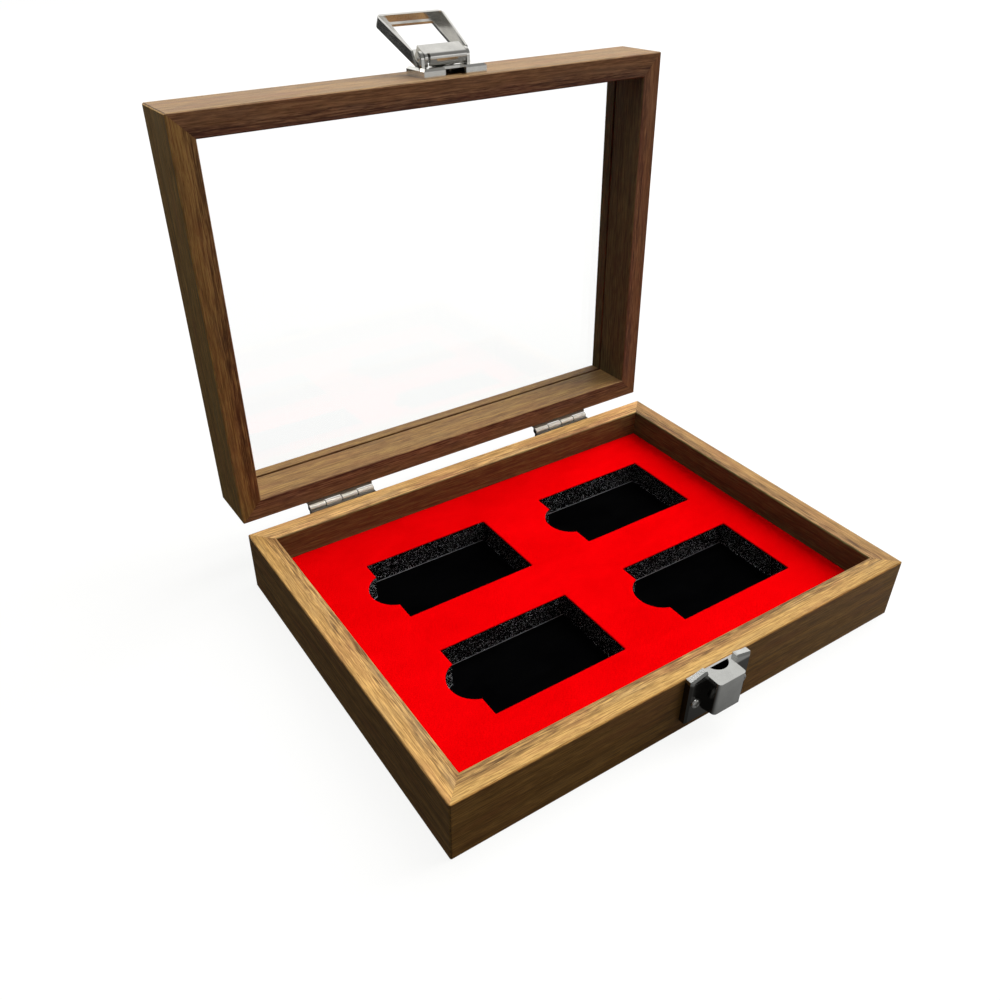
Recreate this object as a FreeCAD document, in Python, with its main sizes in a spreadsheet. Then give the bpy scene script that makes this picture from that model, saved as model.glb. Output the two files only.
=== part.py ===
import FreeCAD, Part
import os
import re
import Sketcher

# A hinged, glazed presentation case with a flocked insert for four small objects.
# Frame: origin at the centre of the base's underside, +X to the right, +Y to the hinges, +Z up.
# The lid is modelled shut in its own frame and then swung open about the hinge pins,
# and the latch flap is modelled hanging down, latched, and then swung back onto its stop.

DRIVING_SIZES = {
    # case
    "box_length": 200,
    "box_depth": 150,
    "base_height": 25.5,
    "lid_height": 23.5,
    "closing_gap": 1,
    "rail_width": 8.5,
    "corner_chamfer": 0.5,
    "edge_chamfer": 0.35,
    # base floor and insert, stacked from the bottom up
    "rebate_depth": 4,
    "panel_thickness": 3,
    "lining_thickness": 1.2,
    "recess_depth": 10,
    "face_thickness": 0.5,
    "fit_play": 0.1,
    # recesses in the insert
    "recess_length": 55,
    "recess_width": 35,
    "column_pitch": 83.5,
    "column_shift": 4.95,
    "row_pitch": 56,
    "notch_radius": 10,
    "notch_inset": 3.2,
    # pane in its groove
    "pane_thickness": 2,
    "groove_depth": 3,
    "groove_low": 16.2,
    # wood screws
    "screw_radius": 1.1,
    "screw_head_radius": 1.9,
    "screw_head_height": 1,
    "screw_bite": 5,
    "cross_length": 2.2,
    "cross_width": 0.5,
    "cross_depth": 0.5,
    # hinges
    "lid_angle": 92.2,
    "hinge_spacing": 112.8,
    "hinge_shift": -1.9,
    "hinge_setback": 2.5,
    "knuckle_pitch": 7.25,
    "knuckle_gap": 0.15,
    "knuckle_radius": 1.2,
    "pin_radius": 0.8,
    "running_play": 0.05,
    "leaf_thickness": 1.1,
    "leaf_drop": 14,
    "leaf_corner": 1.5,
    "leaf_screw_reach": 9,
    "leaf_screw_drop": 9,
    "leaf_clear": 0.5,
    "web_near": 0.4,
    "web_far": 1.2,
    "web_end": 0.5,
    "heel_start": 0.8,
    "heel_reach": 2.6,
    "heel_height": 1.25,
    # keeper on the front of the base
    "hardware_shift": 3.5,
    "keeper_shift": 3,
    "keeper_width": 27,
    "keeper_low": 6.2,
    "keeper_thickness": 3,
    "keeper_sheet": 0.7,
    "keeper_screw_reach": 10.6,
    "keeper_screw_height": 15.4,
    "horn_rise": 1.5,
    "horn_inset": 0.4,
    "horn_near": 6.6,
    "nub_width": 12,
    "nub_shift": -0.6,
    "nub_reach": 8.5,
    "nub_front_low": 11.8,
    "nub_back_low": 10.4,
    "bowl_radius": 4.3,
    "bowl_shift": 0.5,
    "bowl_centre": 0.8,
    "bowl_depth": 9,
    # latch on the front of the lid
    "latch_width": 26,
    "tray_shift": 2.2,
    "latch_near": 3.2,
    "latch_length": 12.8,
    "latch_thickness": 3,
    "latch_sheet": 0.9,
    "latch_bevel": 0.8,
    "latch_slot_width": 8.6,
    "latch_screw_reach": 5.6,
    "latch_screw_height": 13,
    "pivot_height": 8.6,
    "pivot_rise": 5.8,
    "ear_inside": 8.8,
    "ear_thickness": 1.2,
    "ear_radius": 2.4,
    # latch flap, its own frame on the pivot
    "flap_angle": 154.5,
    "flap_length": 25.6,
    "flap_tail": 1,
    "flap_far_half": 14,
    "flap_near_half": 11.3,
    "flap_front": 2.4,
    "flap_rim": 1.6,
    "flap_sheet": 0.9,
    "flap_corner": 2,
    "window_half": 8.6,
    "window_shift": 0.8,
    "window_near": 8,
    "window_far": 23.9,
    "root_half": 8.6,
    "root_half_side": 2.4,
    "root_corner": 1.6,
    "root_clear": 3.2,
    "stop_half": 3,
    "stop_along": 2,
    "stop_drop": 4,
    "block_near": 2.6,
    "block_far": 4.6,
    "spring_low": -7.4,
    "spring_high": -3.6,
    "spring_room": 1.9,
    "slit_width": 1,
    "coil_radius": 1.35,
    "coil_wire": 0.25,
    "coil_pitch": 0.56,
    "coil_turns": 5,
}

doc = FreeCAD.newDocument("display_case")
sheet = doc.addObject("Spreadsheet::Sheet", "Dims")
for row, (alias, number) in enumerate(DRIVING_SIZES.items(), start=1):
    sheet.set(f"A{row}", alias)
    sheet.set(f"B{row}", str(number))
    sheet.setAlias(f"B{row}", alias)
doc.recompute()

sub_parts = []


def bound(formula):
    """Spell a formula over the sheet's words the way the expression engine reads it."""
    return re.sub(r"[a-z][a-z_]+", r"Dims.\g<0>", formula)


def size(formula):
    """The number that a formula over the sheet gives."""
    return float(sheet.evalExpression(bound(formula)))


def new_body(label, placement):
    """An empty body that becomes one exported sub-part."""
    body = doc.addObject("PartDesign::Body", label)
    body.Label = label
    body.AllowCompound = True
    body.Placement = placement
    sub_parts.append(body)
    return body


def new_sketch(body, name, plane_role, offset="0"):
    """A sketch on one of the body's own origin planes, moved along that plane's normal."""
    sketch = body.newObject("Sketcher::SketchObject", f"{body.Name}_{name}")
    plane = next(item for item in body.Origin.OriginFeatures if item.Role == plane_role)
    sketch.AttachmentSupport = [(plane, "")]
    sketch.MapMode = "FlatFace"
    sketch.setExpression(".AttachmentOffset.Base.z", bound(offset))
    return sketch


def pin_point(sketch, geometry, vertex, place):
    """Tie a point of the sketch to the sheet, as distances from the sketch's origin."""
    for kind, formula in zip(("DistanceX", "DistanceY"), place):
        index = sketch.addConstraint(
            Sketcher.Constraint(kind, -1, 1, geometry, vertex, size(formula)))
        sketch.setExpression(f"Constraints[{index}]", bound(formula))


def draw_outline(sketch, corners):
    """A closed outline of straight edges through corners given as pairs of formulas."""
    first = sketch.GeometryCount
    count = len(corners)
    points = [FreeCAD.Vector(size(x), size(y), 0) for x, y in corners]
    for index in range(count):
        edge = Part.LineSegment(points[index], points[(index + 1) % count])
        sketch.addGeometry(edge, False)
    for index, place in enumerate(corners):
        following = first + (index + 1) % count
        sketch.addConstraint(Sketcher.Constraint("Coincident", first + index, 2, following, 1))
        pin_point(sketch, first + index, 1, place)


def draw_rectangle(sketch, low_x, high_x, low_y, high_y):
    draw_outline(sketch, [(low_x, low_y), (high_x, low_y), (high_x, high_y), (low_x, high_y)])


def draw_circle(sketch, place, radius):
    centre = FreeCAD.Vector(size(place[0]), size(place[1]), 0)
    circle = Part.Circle(centre, FreeCAD.Vector(0, 0, 1), size(radius))
    index = sketch.addGeometry(circle, False)
    pin_point(sketch, index, 3, place)
    radius_index = sketch.addConstraint(Sketcher.Constraint("Radius", index, size(radius)))
    sketch.setExpression(f"Constraints[{radius_index}]", bound(radius))


def set_side(feature, symmetric, reverse):
    feature.SideType = "Symmetric" if symmetric else "One side"
    feature.Reversed = reverse


def add_pad(body, name, sketch, length, symmetric=False, reverse=False):
    pad = body.newObject("PartDesign::Pad", f"{body.Name}_{name}")
    pad.Profile = sketch
    pad.setExpression("Length", bound(length))
    set_side(pad, symmetric, reverse)
    doc.recompute()
    return pad


def cut_pocket(body, name, sketch, depth=None, symmetric=False, reverse=False):
    """A pocket to a depth, or right through, that is refused when it removes nothing."""
    volume_before = body.Shape.Volume
    pocket = body.newObject("PartDesign::Pocket", f"{body.Name}_{name}")
    pocket.Profile = sketch
    if depth is None:
        pocket.Type = "ThroughAll"
    else:
        pocket.setExpression("Length", bound(depth))
    set_side(pocket, symmetric, reverse)
    doc.recompute()
    if body.Shape.Volume >= volume_before - 1e-6:
        raise RuntimeError(f"{pocket.Name} removes nothing")
    return pocket


def edges_where(feature, test):
    """Names of the feature's edges whose every vertex passes the test."""
    names = []
    for number, edge in enumerate(feature.Shape.Edges, start=1):
        if all(test(vertex.Point) for vertex in edge.Vertexes):
            names.append(f"Edge{number}")
    if not names:
        raise RuntimeError(f"no edge of {feature.Name} is where the dressing expects it")
    return names


def dress_edges(body, name, kind, edges, amount):
    """A fillet or a chamfer on named edges of the body's last feature."""
    property_name = {"Fillet": "Radius", "Chamfer": "Size"}[kind]
    dressing = body.newObject(f"PartDesign::{kind}", f"{body.Name}_{name}")
    dressing.Base = (body.Group[-2], edges)
    dressing.setExpression(property_name, bound(amount))
    doc.recompute()
    return dressing


def at(x, y, z, axis=(1, 0, 0), angle=0):
    """A placement whose position is given as formulas and whose turn is in degrees."""
    position = FreeCAD.Vector(size(x), size(y), size(z))
    return FreeCAD.Placement(position, FreeCAD.Rotation(FreeCAD.Vector(*axis), angle))


def near(first, second):
    return abs(first - second) < 1e-4


HINGE_Y = "(box_depth / 2 + hinge_setback)"
HINGE_Z = "(base_height + closing_gap / 2)"
LID_Z = "(base_height + closing_gap)"
UPRIGHT = -90

lid_swing = FreeCAD.Placement(
    FreeCAD.Vector(),
    FreeCAD.Rotation(FreeCAD.Vector(1, 0, 0), -size("lid_angle")),
    FreeCAD.Vector(0, size(HINGE_Y), size(HINGE_Z)))
flap_swing = FreeCAD.Placement(
    FreeCAD.Vector(), FreeCAD.Rotation(FreeCAD.Vector(1, 0, 0), -size("flap_angle")))
BASE_SWING = FreeCAD.Placement()


# ---------------------------------------------------------------- wooden rails

def make_rail(label, length, height, slot, dressed_edges, pilot_holes, placement):
    """One mitred rail. Its own frame: length along X, outer face at y = 0, underside at z = 0.

    slot is the (low z, high z, depth) of the groove or rebate along its inner face.
    """
    body = new_body(label, placement)
    half = f"{length} / 2"
    plan = new_sketch(body, "plan", "XY_Plane")
    draw_outline(plan, [
        (f"-{half} + corner_chamfer", "0"),
        (f"{half} - corner_chamfer", "0"),
        (f"{half} - corner_chamfer / 2", "corner_chamfer / 2"),
        (f"{half} - rail_width", "rail_width"),
        (f"-{half} + rail_width", "rail_width"),
        (f"-{half} + corner_chamfer / 2", "corner_chamfer / 2"),
    ])
    add_pad(body, "stick", plan, height)
    low, high, depth = slot
    section = new_sketch(body, "slot_section", "YZ_Plane")
    draw_rectangle(section, f"rail_width - {depth}", "rail_width + 1", low, high)
    cut_pocket(body, "slot", section, symmetric=True)
    if pilot_holes:
        drilling = new_sketch(body, "drilling", "XZ_Plane")
        for place in pilot_holes:
            draw_circle(drilling, place, "screw_radius")
        cut_pocket(body, "pilot_holes", drilling, "screw_bite")
    corners = [(size(y), size(z)) for y, z in dressed_edges]
    stick = body.Tip
    long_edges = edges_where(stick, lambda point: any(
        near(point.y, y) and near(point.z, z) for y, z in corners))
    length_limit = size(f"{length} / 2")
    long_edges = [name for name in long_edges
                  if stick.Shape.getElement(name).Length > length_limit]
    dress_edges(body, "softened_edges", "Chamfer", long_edges, "edge_chamfer")


def make_frame(prefix, height, level, slot, dressed_edges, holes, swing):
    """Four rails round a rectangle. holes gives the pilot holes of the front and back rails."""
    half_length = "box_length / 2"
    half_depth = "box_depth / 2"
    sides = {
        "front": ("box_length", "0", f"-{half_depth}", 0),
        "right": ("box_depth", half_length, "0", 90),
        "back": ("box_length", "0", half_depth, 180),
        "left": ("box_depth", f"-{half_length}", "0", -90),
    }
    for side, (length, x, y, turn) in sides.items():
        closed = at(x, y, level, axis=(0, 0, 1), angle=turn)
        make_rail(f"{prefix}_{side}_rail", length, height, slot, dressed_edges,
                  holes.get(side, []), swing.multiply(closed))


# The back rails are seen from behind, so their X runs against the box's.
hinge_holes = [f"hinge_shift {hinge} hinge_spacing / 2 {screw} leaf_screw_reach"
               for hinge in "-+" for screw in "-+"]
base_holes = {
    "front": [(f"keeper_shift {side} keeper_screw_reach", "keeper_screw_height")
              for side in "-+"],
    "back": [(f"-({x})", f"{HINGE_Z} - leaf_screw_drop") for x in hinge_holes],
}
lid_holes = {
    "front": [(f"hardware_shift {side} latch_screw_reach", "latch_screw_height")
              for side in "-+"],
    "back": [(f"-({x})", "leaf_screw_drop - closing_gap / 2") for x in hinge_holes],
}
make_frame("base", "base_height", "0", ("-1", "panel_thickness", "rebate_depth"),
           [("0", "0"), ("0", "base_height"), ("rail_width", "base_height")],
           base_holes, BASE_SWING)
make_frame("lid", "lid_height", LID_Z,
           ("groove_low", "groove_low + pane_thickness + 2 * fit_play", "groove_depth"),
           [("0", "0"), ("rail_width", "0"), ("0", "lid_height"), ("rail_width", "lid_height")],
           lid_holes, lid_swing)


# ---------------------------------------------------------------- base floor and insert

INNER_HALF_LENGTH = "(box_length / 2 - rail_width)"
INNER_HALF_DEPTH = "(box_depth / 2 - rail_width)"
FOAM_Z = "panel_thickness + lining_thickness"
FACE_Z = "panel_thickness + lining_thickness + recess_depth - face_thickness"


def make_board(label, reach, z, thickness, swing=BASE_SWING):
    """A plain rectangular board that fills the frame's opening and reaches into its rails."""
    body = new_body(label, swing.multiply(at("0", "0", z)))
    outline = new_sketch(body, "outline", "XY_Plane")
    half_x = f"{INNER_HALF_LENGTH} + {reach} - fit_play"
    half_y = f"{INNER_HALF_DEPTH} + {reach} - fit_play"
    draw_rectangle(outline, f"-({half_x})", half_x, f"-({half_y})", half_y)
    add_pad(body, "board", outline, thickness)
    return body


def cut_recesses(body):
    """The four recesses through a board, each with a round thumb notch in its left edge."""
    boxes = new_sketch(body, "recess_boxes", "XY_Plane")
    notches = new_sketch(body, "thumb_notches", "XY_Plane")
    for column in "-+":
        for row in ("-1", "1"):
            x = f"(column_shift {column} column_pitch / 2)"
            y = f"({row} * row_pitch / 2)"
            left = f"{x} - recess_length / 2"
            draw_rectangle(boxes, left, f"{x} + recess_length / 2",
                           f"{y} - recess_width / 2", f"{y} + recess_width / 2")
            draw_circle(notches, (f"{left} + notch_inset", y), "notch_radius")
    cut_pocket(body, "recesses", boxes, symmetric=True)
    cut_pocket(body, "notches", notches, symmetric=True)


make_board("base_bottom_panel", "rebate_depth", "0", "panel_thickness")
make_board("recess_lining", "0", "panel_thickness", "lining_thickness")
cut_recesses(make_board("foam_insert", "0", FOAM_Z, "recess_depth - face_thickness"))
cut_recesses(make_board("velvet_face", "0", FACE_Z, "face_thickness"))
make_board("lid_pane", "groove_depth", f"{LID_Z} + groove_low + fit_play", "pane_thickness",
           lid_swing)


# ---------------------------------------------------------------- screws

def make_screws(label, places, shank_length, placement):
    """A group of like screws. Own frame: heads seated on z = 0 and standing up along +Z."""
    body = new_body(label, placement)
    shanks = new_sketch(body, "shanks", "XY_Plane")
    heads = new_sketch(body, "heads", "XY_Plane")
    crosses = new_sketch(body, "crosses", "XY_Plane", "screw_head_height")
    for x, y in places:
        draw_circle(shanks, (x, y), "screw_radius")
        draw_circle(heads, (x, y), "screw_head_radius")
        draw_cross(crosses, x, y)
    add_pad(body, "shank", shanks, shank_length, reverse=True)
    heads_pad = add_pad(body, "head", heads, "screw_head_height")
    top = size("screw_head_height")
    rims = edges_where(heads_pad, lambda point: near(point.z, top))
    dress_edges(body, "domes", "Fillet", rims, "screw_head_height * 0.7")
    cut_pocket(body, "drive", crosses, "cross_depth")


def draw_cross(sketch, x, y):
    """A twelve-cornered cross for a screwdriver, centred on (x, y)."""
    long_arm = "cross_length / 2"
    short_arm = "cross_width / 2"
    quarter = [(long_arm, short_arm), (short_arm, short_arm), (short_arm, long_arm)]
    signs = [("+", "+", False), ("-", "+", True), ("-", "-", False), ("+", "-", True)]
    corners = []
    for sign_x, sign_y, backwards in signs:
        for across, along in (reversed(quarter) if backwards else quarter):
            corners.append((f"{x} {sign_x} {across}", f"{y} {sign_y} {along}"))
    draw_outline(sketch, corners)


hinge_screw_places = [(x, "leaf_screw_drop") for x in hinge_holes]
leaf_screw_length = "screw_bite + leaf_thickness"
LEAF_FACE_Y = "box_depth / 2 + leaf_thickness"
make_screws("hinge_base_screws", hinge_screw_places, leaf_screw_length,
            at("0", LEAF_FACE_Y, HINGE_Z, angle=UPRIGHT))
make_screws("hinge_lid_screws", [(x, f"-{y}") for x, y in hinge_screw_places],
            leaf_screw_length,
            lid_swing.multiply(at("0", LEAF_FACE_Y, HINGE_Z, angle=UPRIGHT)))
make_screws("keeper_screws",
            [(f"{side}keeper_screw_reach", "keeper_screw_height") for side in ("-", "")],
            "screw_bite + keeper_thickness",
            at("keeper_shift", "-box_depth / 2 - keeper_thickness", "0", angle=-UPRIGHT))
make_screws("latch_screws",
            [(f"{side}latch_screw_reach", "latch_screw_height") for side in ("-", "")],
            "screw_bite + latch_thickness",
            lid_swing.multiply(at("hardware_shift", "-box_depth / 2 - latch_thickness", LID_Z,
                                  angle=-UPRIGHT)))


# ---------------------------------------------------------------- hinges

def make_hinge_leaf(label, side, first_knuckle, bore_radius, has_heel, placement):
    """Half a hinge. Own frame: pin axis along X through the origin, lid shut, wood at -Y.

    side is "-" for the leaf that hangs below the axis and "" for the one that stands above it.
    """
    body = new_body(label, placement)
    half = "2 * knuckle_pitch"
    near_edge = f"{side}leaf_clear"
    far_edge = f"{side}leaf_drop"
    corner_edge = f"{side}(leaf_drop - leaf_corner)"
    plate = new_sketch(body, "plate_outline", "XZ_Plane", "hinge_setback")
    draw_outline(plate, [
        (f"-{half}", near_edge),
        (half, near_edge),
        (half, corner_edge),
        (f"{half} - leaf_corner", far_edge),
        (f"-{half} + leaf_corner", far_edge),
        (f"-{half}", corner_edge),
    ])
    add_pad(body, "plate", plate, "leaf_thickness", reverse=True)
    holes = new_sketch(body, "screw_holes", "XZ_Plane")
    for across in ("-", ""):
        draw_circle(holes, (f"{across}leaf_screw_reach", f"{side}leaf_screw_drop"), "screw_radius")
    cut_pocket(body, "screw_hole_cut", holes, symmetric=True)
    for index in (first_knuckle, first_knuckle + 2):
        start = f"({index} - 2) * knuckle_pitch + knuckle_gap / 2"
        width = "knuckle_pitch - knuckle_gap"
        web = new_sketch(body, f"web_{index}", "YZ_Plane", start)
        draw_rectangle(web, "-hinge_setback", "-web_end", f"{side}web_near", f"{side}web_far")
        add_pad(body, f"web_pad_{index}", web, width)
        barrel = new_sketch(body, f"barrel_{index}", "YZ_Plane", start)
        draw_circle(barrel, ("0", "0"), "knuckle_radius")
        add_pad(body, f"barrel_pad_{index}", barrel, width)
        if has_heel:
            heel = new_sketch(body, f"heel_{index}", "YZ_Plane", start)
            draw_rectangle(heel, "heel_start", "heel_reach", "-heel_height", "0")
            add_pad(body, f"heel_pad_{index}", heel, width)
    bore = new_sketch(body, "bore", "YZ_Plane")
    draw_circle(bore, ("0", "0"), bore_radius)
    cut_pocket(body, "bore_cut", bore, symmetric=True)


def make_pin(label, length, radius, placement):
    """A straight pin along X with chamfered ends."""
    body = new_body(label, placement)
    section = new_sketch(body, "section", "YZ_Plane")
    draw_circle(section, ("0", "0"), radius)
    pad = add_pad(body, "rod", section, length, symmetric=True)
    rims = edges_where(pad, lambda point: near(abs(point.x), size(length) / 2))
    dress_edges(body, "ends", "Chamfer", rims, f"{radius} / 4")


for side_name, sign in (("left", "-"), ("right", "+")):
    hinge_place = at(f"hinge_shift {sign} hinge_spacing / 2", HINGE_Y, HINGE_Z)
    make_hinge_leaf(f"hinge_{side_name}_lid_leaf", "", 0, "pin_radius + running_play", True,
                    lid_swing.multiply(hinge_place))
    make_hinge_leaf(f"hinge_{side_name}_base_leaf", "-", 1, "pin_radius", False, hinge_place)
    make_pin(f"hinge_{side_name}_pin", "4 * knuckle_pitch + 2 * knuckle_gap", "pin_radius",
             hinge_place)


# ---------------------------------------------------------------- keeper on the base

def make_keeper():
    """Cast keeper. Own frame: its wood face on y = 0, heights as on the case, +Y into the wood."""
    body = new_body("keeper_plate", at("keeper_shift", "-box_depth / 2", "0"))
    face = new_sketch(body, "face", "XZ_Plane")
    draw_rectangle(face, "-keeper_width / 2", "keeper_width / 2", "keeper_low", "base_height")
    add_pad(body, "plate", face, "keeper_thickness")
    horns = new_sketch(body, "horns", "XZ_Plane", "horn_inset")
    for side in ("-", ""):
        draw_outline(horns, [
            (f"{side}keeper_width / 2", "base_height - horn_rise"),
            (f"{side}keeper_width / 2", "base_height"),
            (f"{side}(horn_near + horn_rise / 2)", "base_height + horn_rise"),
            (f"{side}horn_near", "base_height + horn_rise"),
            (f"{side}horn_near", "base_height - horn_rise"),
        ])
    add_pad(body, "horn_pad", horns, "keeper_thickness - horn_inset")
    profile = new_sketch(body, "nub_profile", "YZ_Plane", "nub_shift")
    draw_outline(profile, [
        ("-keeper_thickness / 2", "base_height"),
        ("-nub_reach", "base_height"),
        ("-nub_reach", "nub_front_low"),
        ("-keeper_thickness", "nub_back_low"),
        ("-keeper_thickness / 2", "nub_back_low"),
    ])
    nub = add_pad(body, "nub", profile, "nub_width", symmetric=True)
    front = -size("nub_reach")
    uprights = edges_where(nub, lambda point: near(point.y, front))
    uprights = [name for name in uprights if is_upright(nub.Shape.getElement(name))]
    dress_edges(body, "nub_corners", "Fillet", uprights, "nub_width / 10")
    bowl = new_sketch(body, "bowl", "XY_Plane", "base_height")
    draw_circle(bowl, ("bowl_shift", "bowl_centre"), "bowl_radius")
    cut_pocket(body, "bowl_cut", bowl, "bowl_depth")
    backing = new_sketch(body, "backing", "XZ_Plane")
    draw_rectangle(backing, "nub_shift - nub_width / 2", "nub_shift + nub_width / 2",
                   "nub_back_low", "base_height")
    add_pad(body, "backing_sheet", backing, "keeper_sheet")
    holes = new_sketch(body, "screw_holes", "XZ_Plane")
    for side in ("-", ""):
        draw_circle(holes, (f"{side}keeper_screw_reach", "keeper_screw_height"), "screw_radius")
    pocket = cut_pocket(body, "screw_hole_cut", holes, symmetric=True)
    face_y = -size("keeper_thickness")
    half_width = size("keeper_width") / 2
    top = size("base_height")
    rim = edges_where(pocket, lambda point: near(point.y, face_y) and (
        near(abs(point.x), half_width) or near(point.z, size("keeper_low")) or point.z > top))
    rim = [name for name in rim if pocket.Shape.getElement(name).Length > size("nub_width") / 2]
    dress_edges(body, "rim", "Chamfer", rim, "keeper_sheet")


def is_upright(edge):
    start, end = (vertex.Point for vertex in edge.Vertexes)
    return near(start.x, end.x) and near(start.y, end.y)


make_keeper()


# ---------------------------------------------------------------- latch on the lid

PIVOT = ("hardware_shift", "-box_depth / 2 - pivot_rise", f"{LID_Z} + pivot_height")


def make_latch_plate():
    """Pressed tray with two ears. Own frame: lid face on y = 0, z from the lid's mating face."""
    body = new_body("latch_plate", lid_swing.multiply(at("hardware_shift", "-box_depth / 2", LID_Z)))
    low = "latch_near"
    high = "latch_near + latch_length"
    face = new_sketch(body, "face", "XZ_Plane")
    left = "tray_shift - latch_width / 2"
    right = "tray_shift + latch_width / 2"
    draw_rectangle(face, left, right, low, high)
    tray = add_pad(body, "tray", face, "latch_thickness")
    top = -size("latch_thickness")
    rim = edges_where(tray, lambda point: near(point.y, top))
    dress_edges(body, "bevel", "Chamfer", rim, "latch_bevel")
    hollow = new_sketch(body, "hollow", "XZ_Plane")
    draw_rectangle(hollow, f"{left} + 1.6 * latch_sheet", f"{right} - 1.6 * latch_sheet",
                   f"{low} + 1.6 * latch_sheet", f"{high} - 1.6 * latch_sheet")
    cut_pocket(body, "hollow_cut", hollow, "latch_thickness - latch_sheet", reverse=True)
    slot = new_sketch(body, "slot", "XZ_Plane")
    draw_rectangle(slot, "tray_shift - latch_slot_width / 2", "tray_shift + latch_slot_width / 2",
                   "0", f"{low} + 2.4 * latch_sheet")
    cut_pocket(body, "slot_cut", slot, symmetric=True)
    block = new_sketch(body, "stop_block", "XZ_Plane")
    draw_rectangle(block, "-stop_half", "stop_half",
                   "pivot_height + block_near", "pivot_height + block_far")
    add_pad(body, "stop_block_pad", block, "latch_thickness")
    for side in ("-", ""):
        start = f"{side}(ear_inside + ear_thickness / 2)"
        stem = new_sketch(body, f"ear_stem{side}", "YZ_Plane", start)
        draw_rectangle(stem, "-pivot_rise", "-latch_thickness + latch_sheet / 2",
                       "pivot_height - ear_radius", "pivot_height + ear_radius")
        add_pad(body, f"ear_stem_pad{side}", stem, "ear_thickness", symmetric=True)
        head = new_sketch(body, f"ear_head{side}", "YZ_Plane", start)
        draw_circle(head, ("-pivot_rise", "pivot_height"), "ear_radius")
        add_pad(body, f"ear_head_pad{side}", head, "ear_thickness", symmetric=True)
    bore = new_sketch(body, "bore", "YZ_Plane")
    draw_circle(bore, ("-pivot_rise", "pivot_height"), "pin_radius")
    cut_pocket(body, "bore_cut", bore, symmetric=True)
    holes = new_sketch(body, "screw_holes", "XZ_Plane")
    for side in ("-", ""):
        draw_circle(holes, (f"{side}latch_screw_reach", "latch_screw_height"), "screw_radius")
    cut_pocket(body, "screw_hole_cut", holes, symmetric=True)


def make_latch_spring():
    """Small coil on the pivot pin, between the flap's knuckles, with a leg down to the tray."""
    body = new_body("latch_spring", lid_swing.multiply(at(*PIVOT)))
    wire = new_sketch(body, "wire", "XZ_Plane")
    start = "spring_low + 2 * coil_wire"
    draw_circle(wire, (start, "coil_radius"), "coil_wire")
    coil = body.newObject("PartDesign::AdditiveHelix", "latch_spring_coil")
    coil.Profile = wire
    coil.ReferenceAxis = (wire, ["H_Axis"])
    coil.Mode = "pitch-turns-angle"
    coil.setExpression("Pitch", bound("coil_pitch"))
    coil.setExpression("Turns", bound("coil_turns"))
    doc.recompute()


def make_flap():
    """Pressed flap. Own frame: pivot axis along X, flap along +Y, its rim towards +Z."""
    hanging = at(*PIVOT, angle=UPRIGHT)
    pivot = FreeCAD.Placement(hanging.Base, FreeCAD.Rotation())
    body = new_body("latch_flap", lid_swing.multiply(
        pivot.multiply(flap_swing).multiply(pivot.inverse()).multiply(hanging)))
    outline = new_sketch(body, "outline", "XY_Plane", "-flap_front")
    draw_outline(outline, [
        ("-flap_near_half", "-flap_tail"),
        ("flap_near_half", "-flap_tail"),
        ("flap_far_half", "flap_length"),
        ("-flap_far_half", "flap_length"),
    ])
    pan = add_pad(body, "pan", outline, "flap_front + flap_rim")
    far = size("flap_length")
    corners = edges_where(pan, lambda point: near(point.y, far))
    corners = [name for name in corners if runs_along_z(pan.Shape.getElement(name))]
    dress_edges(body, "far_corners", "Fillet", corners, "flap_corner")
    front = -size("flap_front")
    face_rim = edges_where(body.Tip, lambda point: near(point.z, front)
                           and point.y > -size("flap_tail") - 1)
    face_rim = [name for name in face_rim
                if not lies_on_tail(body.Tip.Shape.getElement(name))]
    dress_edges(body, "rolled_rim", "Fillet", face_rim, "flap_sheet * 0.8")
    inside = new_sketch(body, "inside", "XY_Plane", "flap_rim")
    draw_outline(inside, [
        ("-flap_near_half + flap_sheet", "-flap_tail - 1"),
        ("flap_near_half - flap_sheet", "-flap_tail - 1"),
        ("flap_far_half - flap_sheet", "flap_length - flap_sheet"),
        ("-flap_far_half + flap_sheet", "flap_length - flap_sheet"),
    ])
    cut_pocket(body, "inside_cut", inside, "flap_rim + flap_front - flap_sheet")
    window = new_sketch(body, "window", "XY_Plane")
    draw_rectangle(window, "window_shift - window_half", "window_shift + window_half",
                   "window_near", "window_far")
    cut_pocket(body, "window_cut", window, symmetric=True)
    clearance = new_sketch(body, "ear_clearance", "XY_Plane")
    draw_rectangle(clearance, "-flap_near_half + flap_sheet", "flap_near_half - flap_sheet",
                   "-flap_tail - 1", "root_clear")
    cut_pocket(body, "ear_clearance_cut", clearance, symmetric=True)
    slope = new_sketch(body, "skirt_slope", "YZ_Plane")
    draw_outline(slope, [
        ("-flap_tail - 1", "flap_rim + 1"),
        ("-flap_tail - 1", "-flap_front + 0.5"),
        ("-flap_tail", "-flap_front + 0.5"),
        ("root_clear", "flap_rim + 0.5"),
        ("root_clear", "flap_rim + 1"),
    ])
    cut_pocket(body, "skirt_slope_cut", slope, symmetric=True)
    add_root(body)


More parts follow.
